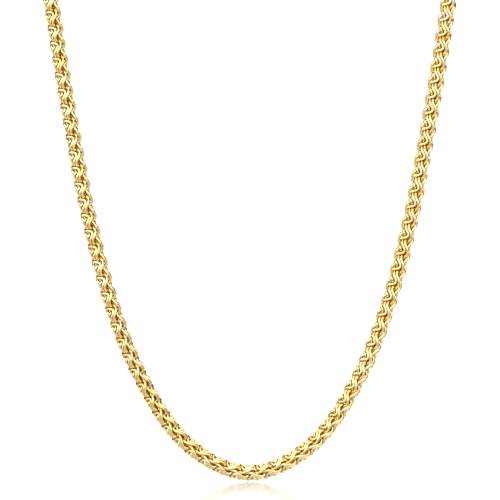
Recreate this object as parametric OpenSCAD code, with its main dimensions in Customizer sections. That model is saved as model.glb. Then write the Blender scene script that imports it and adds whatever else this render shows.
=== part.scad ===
// Wheat chain necklace, closed round the neck by a clasp at the nape.
// Millimetres. X runs across, the front faces -Y and Z is up. The origin is
// the middle of the fastening, where the necklace sits on the nape.

/* [Chain] */
// Width of the woven chain
chain_w = 3; // [2.6:0.1:3.2]
// Sides of the chain's rounded section
chain_sides = 8; // [8:2:12]
// Rings of that section along the whole chain
chain_rings = 75; // [60:1:80]

/* [End caps] */
// Wall of an end cap round the chain
cap_wall = 0.4; // [0.3:0.05:0.6]
// Length of an end cap
cap_len = 4.6; // [4:0.2:6]
// Thickness of a cap's closed end
cap_floor = 0.7; // [0.6:0.05:0.9]
// Wire of the eyes on the caps and on the clasp
eye_wire = 0.8; // [0.7:0.05:0.9]
// Clear width inside an eye
eye_hole = 1.9; // [1.8:0.1:2.2]

/* [Jump rings] */
// Wire of a jump ring
ring_wire = 0.9; // [0.8:0.05:1]
// Clear width inside a jump ring
ring_hole = 3.1; // [2.9:0.1:3.5]

/* [Clasp] */
// Clear length inside the clasp's bow
bow_len = 6.4; // [5.6:0.2:7.2]
// Clear width inside the clasp's bow
bow_gap = 3.2; // [2.8:0.1:3.6]
// Wire of the clasp's bow
bow_wire = 1.3; // [1.1:0.1:1.5]
// Thickness of the clasp's swollen back
back_thick = 2.1; // [1.8:0.1:2.4]
// Height of the thumb stud over the bow's wire
stud_rise = 0.9; // [0.6:0.1:1.2]

/* [Hidden] */
$fn = 48;

gold = [0.93, 0.78, 0.45];

// Clearance between rings that hang in each other
slack = 0.1;
// Gap between the chain and the cap that is crimped over it
cap_fit = 0.12;
// How far an eye's wire is sunk into its cap
eye_sink = 0.5;

eye_r = (eye_hole + eye_wire) / 2;
ring_r = (ring_hole + ring_wire) / 2;
bow_r = (bow_gap + bow_wire) / 2;
cap_r = chain_w / 2 + cap_fit + cap_wall;

// From an eye's middle to the middle of the ring that hangs in it
eye_to_ring = (eye_hole + ring_hole) / 2 - slack;
// From a cap's closed face to the middle of its eye
face_to_eye = eye_r + eye_wire / 2 - eye_sink;
// From the middle of the clasp's eye to the far inner edge of its bow
eye_to_bow_end = eye_r + bow_wire / 2 + bow_len;
// From that inner edge to the middle of the ring that hangs in the bow
bow_end_to_ring = ring_hole / 2 - slack;

// Half of the row of eyes and rings between the two caps' closed faces
row_half = (2 * face_to_eye + 3 * eye_to_ring + eye_to_bow_end + bow_end_to_ring) / 2;

left_eye_x = -row_half + face_to_eye;
clasp_ring_x = left_eye_x + eye_to_ring;
clasp_eye_x = clasp_ring_x + eye_to_ring;
catch_ring_x = clasp_eye_x + eye_to_bow_end + bow_end_to_ring;

// Middles of the bow's two round ends
bow_x1 = clasp_eye_x + eye_r + bow_r;
bow_x2 = clasp_eye_x + eye_to_bow_end + bow_wire / 2 - bow_r;

chain_end_x = row_half + cap_floor + cap_fit;

// Middle of the chain's left half, from the lowest point to the nape
left_route = [
    [0, -114, -167],
    [-3.5, -114, -166.5],
    [-7, -113.8, -165.1],
    [-10.3, -113.5, -163.1],
    [-13.5, -113.1, -160.5],
    [-17.1, -112.5, -156.3],
    [-20.4, -111.8, -151],
    [-24, -110.8, -144],
    [-27.2, -109.6, -135.8],
    [-30.3, -108.2, -125.8],
    [-33, -106.6, -114.8],
    [-35.2, -104.8, -104],
    [-37.2, -102.8, -93],
    [-39.2, -100.6, -81.5],
    [-41, -98, -70],
    [-43.2, -94, -58.5],
    [-46, -87.5, -46.5],
    [-49.3, -78, -35],
    [-52.6, -66, -25],
    [-55, -52.5, -16.8],
    [-55.4, -38.5, -10.5],
    [-52.3, -25.2, -6],
    [-45.7, -14, -3],
    [-36.7, -6.1, -1.2],
    [-27, -1.7, -0.3],
    [-18.5, 0, 0],
    [-chain_end_x, 0, 0]
];

// The whole route, from the left end over the lowest point to the right end
route = concat(
    [for (i = [len(left_route) - 1:-1:0]) left_route[i]],
    [for (i = [1:len(left_route) - 1]) [-left_route[i][0], left_route[i][1], left_route[i][2]]]
);

// Square to the tilted plane that the loop lies near
loop_normal = unit(cross([1, 0, 0], left_route[0]));

function unit(v) = v / norm(v);

// Point of a smooth curve through the points p, at t segments from its start
function curve_at(p, t) =
    let (
        last = len(p) - 1,
        i = min(floor(t), last - 1),
        f = t - i,
        a = p[max(i - 1, 0)],
        b = p[i],
        c = p[i + 1],
        d = p[min(i + 2, last)]
    )
    (2 * b + (c - a) * f + (2 * a - 5 * b + 4 * c - d) * f ^ 2
        + (3 * b - a - 3 * c + d) * f ^ 3) / 2;

// A polygon of the given corner radius round one point of the line
function section(middle, ahead, r, sides) =
    let (
        u = unit(loop_normal - (loop_normal * ahead) * ahead),
        v = cross(ahead, u)
    )
    [for (k = [0:sides - 1])
        let (a = 360 * (k + 0.5) / sides)
        middle + r * (cos(a) * u + sin(a) * v)];

// Closed skin over rings of points, all with the same number of sides
function skin_faces(rings, sides) = concat(
    [[for (k = [0:sides - 1]) k]],
    [for (i = [0:rings - 2], k = [0:sides - 1])
        let (m = (k + 1) % sides)
        each [
            [i * sides + k, (i + 1) * sides + m, i * sides + m],
            [i * sides + k, (i + 1) * sides + k, (i + 1) * sides + m]
        ]],
    [[for (k = [sides - 1:-1:0]) (rings - 1) * sides + k]]
);

module chain() {
    last = chain_rings - 1;
    middles = [for (i = [0:last]) curve_at(route, (len(route) - 1) * i / last)];
    points = [for (i = [0:last])
        each section(
            middles[i],
            unit(middles[min(i + 1, last)] - middles[max(i - 1, 0)]),
            chain_w / 2,
            chain_sides
        )];
    color(gold)
        polyhedron(points, skin_faces(chain_rings, chain_sides));
}

// A round ring about Z with its middle at x
module ring(x, r, wire) {
    translate([x, 0, 0])
        rotate_extrude()
            translate([r, 0])
                circle(d = wire);
}

// A round ring that stands up, about Y
module eye(x) {
    rotate([90, 0, 0])
        ring(x, eye_r, eye_wire);
}

// A cup over the chain's left end, closed towards the fastening, with an eye
module cap() {
    corner = cap_wall / 2;
    union() {
        translate([-row_half, 0, 0])
            rotate([0, -90, 0])
                rotate_extrude()
                    difference() {
                        union() {
                            square([cap_r - corner, cap_len]);
                            translate([0, corner])
                                square([cap_r, cap_len - corner]);
                            translate([cap_r - corner, corner])
                                circle(corner);
                        }
                        translate([0, cap_floor])
                            square([cap_r - cap_wall, cap_len]);
                    }
        eye(left_eye_x);
    }
}

module left_cap() {
    color(gold)
        cap();
}

module right_cap() {
    color(gold)
        rotate([0, 0, 180])
            cap();
}

module clasp_ring() {
    color(gold)
        ring(clasp_ring_x, ring_r, ring_wire);
}

module catch_ring() {
    color(gold)
        ring(catch_ring_x, ring_r, ring_wire);
}

// A round bar from one X to another, with domed ends
module bar(x1, x2, z, thick) {
    translate([x1, 0, z])
        rotate([0, 90, 0])
            cylinder(d = thick, h = x2 - x1);
    for (x = [x1, x2])
        translate([x, 0, z])
            sphere(d = thick);
}

// Half of a ring, round end of the bow; turn 0 opens it towards -X
module bow_end(x, turn) {
    translate([x, 0, 0])
        rotate([90, turn, 0])
            rotate_extrude(angle = 180, start = -90)
                translate([bow_r, 0])
                    circle(d = bow_wire);
}

// A closed bow with a swollen back, a thumb stud and an eye, all one piece
module clasp() {
    color(gold)
        union() {
            bow_end(bow_x1, 180);
            bow_end(bow_x2, 0);
            bar(bow_x1, bow_x2, bow_r, bow_wire);
            bar(bow_x1, bow_x2, -bow_r, back_thick);
            translate([bow_x2, 0, bow_r])
                cylinder(d = bow_wire, h = bow_wire / 2 + stud_rise);
            eye(clasp_eye_x);
        }
}

chain();
left_cap();
right_cap();
clasp_ring();
catch_ring();
clasp();
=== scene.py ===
import math
import bmesh
import bpy
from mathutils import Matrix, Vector


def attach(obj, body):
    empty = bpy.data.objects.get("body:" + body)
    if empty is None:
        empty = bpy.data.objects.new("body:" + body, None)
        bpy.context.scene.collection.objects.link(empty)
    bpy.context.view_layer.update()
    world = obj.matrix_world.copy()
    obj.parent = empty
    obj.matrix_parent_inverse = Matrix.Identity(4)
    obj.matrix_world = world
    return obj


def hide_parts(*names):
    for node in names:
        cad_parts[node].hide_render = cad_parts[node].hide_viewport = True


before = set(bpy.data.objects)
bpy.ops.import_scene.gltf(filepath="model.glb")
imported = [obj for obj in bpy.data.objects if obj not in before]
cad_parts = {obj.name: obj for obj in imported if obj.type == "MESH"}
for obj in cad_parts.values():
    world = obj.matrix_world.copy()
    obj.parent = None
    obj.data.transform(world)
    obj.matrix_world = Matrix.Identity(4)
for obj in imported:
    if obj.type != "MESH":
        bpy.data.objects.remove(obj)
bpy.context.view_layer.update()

mm = 0.001
white = (1.0, 1.0, 1.0)
black = (0.0, 0.0, 0.0)

# The chain's middle line, as in the part's source: its left half in millimetres, from the lowest point to the nape
chainEndX = 10.595
leftRoute = [
    (0, -114, -167),
    (-3.5, -114, -166.5),
    (-7, -113.8, -165.1),
    (-10.3, -113.5, -163.1),
    (-13.5, -113.1, -160.5),
    (-17.1, -112.5, -156.3),
    (-20.4, -111.8, -151),
    (-24, -110.8, -144),
    (-27.2, -109.6, -135.8),
    (-30.3, -108.2, -125.8),
    (-33, -106.6, -114.8),
    (-35.2, -104.8, -104),
    (-37.2, -102.8, -93),
    (-39.2, -100.6, -81.5),
    (-41, -98, -70),
    (-43.2, -94, -58.5),
    (-46, -87.5, -46.5),
    (-49.3, -78, -35),
    (-52.6, -66, -25),
    (-55, -52.5, -16.8),
    (-55.4, -38.5, -10.5),
    (-52.3, -25.2, -6),
    (-45.7, -14, -3),
    (-36.7, -6.1, -1.2),
    (-27, -1.7, -0.3),
    (-18.5, 0, 0),
    (-chainEndX, 0, 0),
]

shot = {
    "distance": 1400 * mm,  # from the visible strands to the camera
    "chainDepth": -108 * mm,
    "middleHeight": -121.6 * mm,
    "seenWidth": 102.3 * mm,
    "sensor": 36,
    "nearest": 10 * mm,  # nothing closer to the camera is drawn
}


def makeCamera(o):
    data = bpy.data.cameras.new("photoCamera")
    data.sensor_width = o["sensor"]
    data.lens = o["sensor"] * o["distance"] / o["seenWidth"]
    data.clip_start = o["nearest"]
    camera = bpy.data.objects.new("photoCamera", data)
    camera.location = (0, o["chainDepth"] - o["distance"], o["middleHeight"])
    camera.rotation_euler = (math.pi / 2, 0, 0)
    bpy.context.scene.collection.objects.link(camera)
    bpy.context.scene.camera = camera


makeCamera(shot)
print("camera placed")


# A node's output that can be added, subtracted and multiplied
class Sock:
    def __init__(self, tree, out):
        self.tree = tree
        self.out = out

    def math(self, operation, *values):
        return self.tree.node("ShaderNodeMath", {"operation": operation}, *values)

    def __add__(self, other):
        return self.math("ADD", self, other)

    __radd__ = __add__

    def __sub__(self, other):
        return self.math("SUBTRACT", self, other)

    def __mul__(self, other):
        return self.math("MULTIPLY", self, other)

    __rmul__ = __mul__


# A material's or the world's nodes, each made in one line: its kind, its settings, then values for its inputs
class Tree:
    def __init__(self, owner):
        owner.use_nodes = True
        self.tree = owner.node_tree
        self.tree.nodes.clear()

    def node(self, kind, settings=None, *values, output=None, **named):
        made = self.tree.nodes.new(kind)
        for key, value in (settings or {}).items():
            if key == "stops":
                self.fillRamp(made.color_ramp.elements, value)
            else:
                setattr(made, key, value)
        inputs = [s for s in made.inputs if s.enabled]
        for i, value in enumerate(values):
            self.feed(inputs[i], value)
        for key, value in named.items():
            self.feed(next(s for s in inputs if s.name == key.replace("_", " ")), value)
        outputs = [s for s in made.outputs if s.enabled and output in (None, s.name)]
        return Sock(self, outputs[0]) if outputs else made

    def fillRamp(self, ramp, stops):
        while len(ramp) < len(stops):
            ramp.new(0.5)  # its place is set below
        for stop, (place, colour) in zip(ramp, stops):
            stop.position = place
            stop.color = (*colour, 1)

    def feed(self, socket, value):
        if isinstance(value, Sock):
            self.tree.links.new(value.out, socket)
        else:
            socket.default_value = value


goldLook = {
    "tone": (0.965, 0.83, 0.48),
    "deepTone": (0.93, 0.72, 0.30),
    "tonesFrom": 0.3,  # the cloudy noise's value that is all deep tone
    "tonesTo": 0.65,  # and the one that is all bright
    "weaveShadeTone": (0.52, 0.25, 0.02),  # painted shade deep in the weave, standing in for the darkening between the links
    "weaveShadeFrom": 0.30,  # places between the chain's middle line, 0, and the outside of its links, 1
    "weaveShadeTo": 0.64,
    "weaveShadeDull": 0.22,
    "polish": 0.13,  # roughness of the clean metal
    "haze": 0.10,  # how far it varies from patch to patch
    "hazeSize": 260,
    "hazeDetail": 3,
    "wearSize": 2600,
    "wearDetail": 2,
    "wearDepth": 0.004 * mm,
    "wearStrength": 0.35,
}
fittingLook = {**goldLook, "polish": 0.11, "hazeSize": 420, "wearStrength": 0.2}


def polishedGold(name, o, paintsWeaveShade):
    material = bpy.data.materials.new(name)
    tree = Tree(material)
    place = tree.node("ShaderNodeTexCoord", output="Object")
    cloud = tree.node("ShaderNodeTexNoise", {}, Vector=place, Scale=o["hazeSize"], Detail=o["hazeDetail"])
    fine = tree.node("ShaderNodeTexNoise", {}, Vector=place, Scale=o["wearSize"], Detail=o["wearDetail"])
    tones = {"stops": [(o["tonesFrom"], o["deepTone"]), (o["tonesTo"], o["tone"])]}
    colour = tree.node("ShaderNodeValToRGB", tones, cloud)
    roughness = cloud * o["haze"] + o["polish"] - 0.5 * o["haze"]
    # Painted shade: the colour turns deep brown towards the chain's middle line, where the links crowd, and the metal
    # there is rougher
    if paintsWeaveShade:
        outward = tree.node("ShaderNodeAttribute", {"attribute_name": "outward"}, output="Fac")
        weaveShadeStops = {"stops": [(o["weaveShadeFrom"], white), (o["weaveShadeTo"], black)]}
        weaveShade = tree.node("ShaderNodeValToRGB", weaveShadeStops, outward)
        colour = tree.node("ShaderNodeMix", {"data_type": "RGBA"}, weaveShade, A=colour, B=(*o["weaveShadeTone"], 1))
        roughness = roughness + o["weaveShadeDull"] * weaveShade
    bump = tree.node("ShaderNodeBump", {}, Strength=o["wearStrength"], Distance=o["wearDepth"], Height=fine)
    surface = tree.node(
        "ShaderNodeBsdfPrincipled", {}, Base_Color=colour, Metallic=1.0, Roughness=roughness, Normal=bump
    )
    tree.node("ShaderNodeOutputMaterial", {}, Surface=surface)
    return material


chainGold = polishedGold("chainGold", goldLook, True)
fittingGold = polishedGold("fittingGold", fittingLook, False)
print("gold mixed")

route = {
    "step": 0.25 * mm,  # between the samples
    "fineness": 400,  # points in each of the route's spans while its length is summed
}


# The same smooth curve through points as in the part's source
def curveAt(points, t):
    last = len(points) - 1
    i = min(int(t), last - 1)
    f = t - i
    a, b, c, d = (points[max(0, min(last, k))] for k in (i - 1, i, i + 1, i + 2))
    return (2 * b + (c - a) * f + (2 * a - 5 * b + 4 * c - d) * f ** 2 + (3 * b - a - 3 * c + d) * f ** 3) / 2


# Even samples from the right end to the left one, the way onward at each, and a front that is carried along untwisted
def routeSamples(o):
    left = [Vector(p) * mm for p in leftRoute]
    right = [Vector((-p.x, p.y, p.z)) for p in left]
    points = right[:0:-1] + left
    spans = len(points) - 1
    dense = [curveAt(points, i / o["fineness"]) for i in range(spans * o["fineness"] + 1)]
    length = sum((b - a).length for a, b in zip(dense, dense[1:]))
    middle = round(length / o["step"] / 2)  # the lowest point's sample
    count = 2 * middle
    step = length / count
    middles, run, due = [dense[0]], 0.0, step
    for a, b in zip(dense, dense[1:]):
        span = (b - a).length
        while run + span >= due and len(middles) < count:
            middles.append(a.lerp(b, (due - run) / span))
            due += step
        run += span
    middles.append(dense[-1])
    ahead = []
    for i in range(count + 1):
        ahead.append((middles[min(i + 1, count)] - middles[max(i - 1, 0)]).normalized())
    fronts = [None] * (count + 1)
    fronts[middle] = Vector((0, -1, 0))
    for i in range(middle + 1, count + 1):
        turn = ahead[i - 1].rotation_difference(ahead[i])
        fronts[i] = turn @ fronts[i - 1]
    for i in range(middle - 1, -1, -1):
        turn = ahead[i + 1].rotation_difference(ahead[i])
        fronts[i] = turn @ fronts[i + 1]
    return middles, ahead, fronts, step


middles, ahead, fronts, step = routeSamples(route)
routeLength = step * (len(middles) - 1)
print("route sampled,", round(routeLength / mm), "mm")

# One link is a closed wire folded in two, whose loops lean over the chain's faces. Sizes are in millimetres.
link = {
    "wire": 0.57,
    "half": [  # half of its points, two ways across and one along the chain; the rest are these turned half a turn
        (0.45, 0.2, -0.25),
        (1.5, -0.2, 0.65),
        (1.45, 0.95, 2.0),
        (1.0, 1.1, 2.8),
        (0.4, 0.5, 4.0),
        (0.35, -0.2, 4.7),
        (0.3, -1.05, 3.85),
        (1.15, -1.4, 3.3),
        (0.95, 0.95, 2.8),
        (1.5, -0.55, 1.2),
        (1.05, -0.6, 0.45),
    ],
    "smoothness": 4,  # order of the curve near those points
    "stepsPerPoint": 5,
    "bevelSteps": 1,  # gives the wire six sides
    "pitch": 3.32,  # from a link to the next one that lies the same way
    "reach": 4.45,  # from a link's fold to the end of its loops
    "outside": 1.85,  # from the middle line to the outermost metal
    "endGap": 0.35,
    "rolls": [  # share of the route, and the chain's turn round its own line in degrees
        (0, 80),
        (0.38, 80),
        (0.5, 45),
        (0.62, 10),
        (1, 10),
    ],
    "capped": 4.2,  # length at each end that lies in its cap
    "pressed": 0.8,  # share of the links' width that is left there
    "easing": 3.0,  # length over which they come back to it
    "pieces": 3,
}


def linkWire(o):
    line = bpy.data.curves.new("linkLine", "CURVE")
    line.dimensions = "3D"
    line.bevel_depth = o["wire"] / 2
    line.bevel_resolution = o["bevelSteps"]
    line.resolution_u = o["stepsPerPoint"]
    points = o["half"] + [(-x, -y, z) for x, y, z in o["half"]]
    spline = line.splines.new("NURBS")
    spline.points.add(len(points) - 1)
    for point, place in zip(spline.points, points):
        point.co = (*place, 1)
    spline.order_u = o["smoothness"]
    spline.use_cyclic_u = True
    holder = bpy.data.objects.new("linkLine", line)
    mesh = bpy.data.meshes.new_from_object(holder)
    bpy.data.objects.remove(holder)
    bpy.data.curves.remove(line)
    return mesh


def eased(a, b, f):
    f = max(0, min(1, f))
    return a + (b - a) * f * f * (3 - 2 * f)


def rollAt(o, share):
    for (a, rollA), (b, rollB) in zip(o["rolls"], o["rolls"][1:]):
        if share <= b:
            return math.radians(eased(rollA, rollB, (share - a) / (b - a)))
    return math.radians(o["rolls"][-1][1])


def widthAt(o, fromEnd):
    return eased(o["pressed"], 1, (fromEnd / mm - o["capped"]) / o["easing"])


# Where a straight chain's point comes to lie on the route
def onRoute(o, place, start):
    spot = (start + place.z * mm) / step
    i = max(0, min(len(middles) - 2, math.floor(spot)))
    f = spot - i
    onward = ahead[i].lerp(ahead[i + 1], f).normalized()
    front = fronts[i].lerp(fronts[i + 1], f)
    front = (front - front.dot(onward) * onward).normalized()
    inner = front.cross(onward)
    run = spot * step
    roll = rollAt(o, run / routeLength)
    sideX = front * math.cos(roll) + inner * math.sin(roll)
    sideY = front * math.sin(roll) - inner * math.cos(roll)
    across = (sideX * place.x + sideY * place.y) * widthAt(o, min(run, routeLength - run)) * mm
    return middles[i].lerp(middles[i + 1], f) + across


def makeChain(o):
    wire = linkWire(o)
    room = routeLength - (2 * o["endGap"] + o["reach"]) * mm
    count = round(room / (o["pitch"] / 2 * mm)) + 1
    spacing = room / (count - 1)
    for part in range(o["pieces"]):
        bm = bmesh.new()
        outward = bm.verts.layers.float.new("outward")
        for k in range(part * count // o["pieces"], (part + 1) * count // o["pieces"]):
            old = set(bm.verts)
            bm.from_mesh(wire)
            for v in [v for v in bm.verts if v not in old]:
                # every second link is mirrored and lies a quarter turn round
                place = Vector((v.co.y, v.co.x, v.co.z)) if k % 2 else v.co.copy()
                # how far out each point lies, which places the painted shade deep in the weave
                v[outward] = math.hypot(place.x, place.y) / o["outside"]
                v.co = onRoute(o, place, o["endGap"] * mm + k * spacing)
        bmesh.ops.recalc_face_normals(bm, faces=bm.faces)
        for face in bm.faces:
            face.smooth = True
        mesh = bpy.data.meshes.new("chainLinks" + str(part + 1))
        bm.to_mesh(mesh)
        bm.free()
        mesh.materials.append(chainGold)
        piece = bpy.data.objects.new(mesh.name, mesh)
        bpy.context.scene.collection.objects.link(piece)
        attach(piece, "root")
        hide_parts("chain")
    print("chain of", count, "links, spacing", round(spacing / mm, 3), "mm")


makeChain(link)

for name in ("left_cap", "right_cap", "clasp_ring", "catch_ring", "clasp"):
    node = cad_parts[name]
    node.data.materials.clear()
    node.data.materials.append(fittingGold)
print("fittings gilded")

studio = {
    "floorHeight": -168.72 * mm,
    "floorRadius": 1.2,
    "floorSides": 96,
    "paper": 1.0,  # brightness of the floor to the eye
    "bounce": 0.74,  # and what it sends up to the gold
    "bounceTone": (1.0, 0.95, 0.84),
    "glossIOR": 1.017,
    "glossBlur": 0.10,
    "wallLight": 2.0,  # brightness of the walls that the gold mirrors
    "backdrop": 1.05,  # and of what the eye sees behind the necklace
    "wallTones": [  # from straight in front of the necklace to straight behind it
        (0.0, white),
        (0.35, (0.66, 0.60, 0.49)),
        (0.53, (0.11, 0.055, 0.008)),
        (0.7, (0.02, 0.007, 0.001)),
        (0.85, (0.02, 0.007, 0.001)),
        (0.92, white),
    ],
}


def makeFloor(o):
    bm = bmesh.new()
    bmesh.ops.create_circle(bm, cap_ends=True, segments=o["floorSides"], radius=o["floorRadius"])
    bmesh.ops.translate(bm, verts=bm.verts, vec=(0, 0, o["floorHeight"]))
    mesh = bpy.data.meshes.new("studioFloor")
    bm.to_mesh(mesh)
    bm.free()
    material = bpy.data.materials.new("paleFloor")
    tree = Tree(material)
    seen = tree.node("ShaderNodeLightPath", output="Is Camera Ray")
    bounce = tree.node("ShaderNodeEmission", {}, Color=(*o["bounceTone"], 1), Strength=o["bounce"])
    paper = tree.node("ShaderNodeEmission", {}, Color=(*white, 1), Strength=o["paper"])
    matt = tree.node("ShaderNodeMixShader", {}, seen, bounce, paper)
    gloss = tree.node("ShaderNodeBsdfGlossy", {}, Color=(*white, 1), Roughness=o["glossBlur"])
    graze = tree.node("ShaderNodeFresnel", {}, IOR=o["glossIOR"])
    surface = tree.node("ShaderNodeMixShader", {}, graze, matt, gloss)
    tree.node("ShaderNodeOutputMaterial", {}, Surface=surface)
    mesh.materials.append(material)
    floor = bpy.data.objects.new("studioFloor", mesh)
    bpy.context.scene.collection.objects.link(floor)


makeFloor(studio)

lamps = {
    "key": {"place": (-0.55, -0.75, 0.35), "width": 0.45, "power": 1.6},
    "fill": {"place": (0.6, -0.75, 0.1), "width": 0.35, "power": 0.7},
    "top": {"place": (-0.1, -0.1, 0.75), "width": 0.6, "power": 1.6},
}
aim = Vector((0, -0.1, -0.12))


def makeLamp(name, o):
    data = bpy.data.lights.new(name, "AREA")
    data.size = o["width"]
    data.energy = o["power"]
    lamp = bpy.data.objects.new(name, data)
    lamp.location = o["place"]
    lamp.rotation_euler = (aim - Vector(o["place"])).to_track_quat("-Z", "Y").to_euler()
    bpy.context.scene.collection.objects.link(lamp)


for name, o in lamps.items():
    makeLamp(name, o)


# The eye sees white air, and the gold mirrors walls that darken from the front to the sides
def makeAir(o):
    world = bpy.data.worlds.new("studioAir")
    bpy.context.scene.world = world
    tree = Tree(world)
    way = tree.node("ShaderNodeTexCoord", output="Generated")
    depth = tree.node("ShaderNodeSeparateXYZ", {}, way, output="Y")
    walls = tree.node("ShaderNodeValToRGB", {"stops": o["wallTones"]}, 0.5 + 0.5 * depth)
    wallLight = tree.node("ShaderNodeBackground", {}, Color=walls, Strength=o["wallLight"])
    backdrop = tree.node("ShaderNodeBackground", {}, Color=(*white, 1), Strength=o["backdrop"])
    seen = tree.node("ShaderNodeLightPath", output="Is Camera Ray")
    surface = tree.node("ShaderNodeMixShader", {}, seen, wallLight, backdrop)
    tree.node("ShaderNodeOutputWorld", {}, Surface=surface)


makeAir(studio)
bpy.context.scene.view_settings.view_transform = "Standard"
print("studio lit")
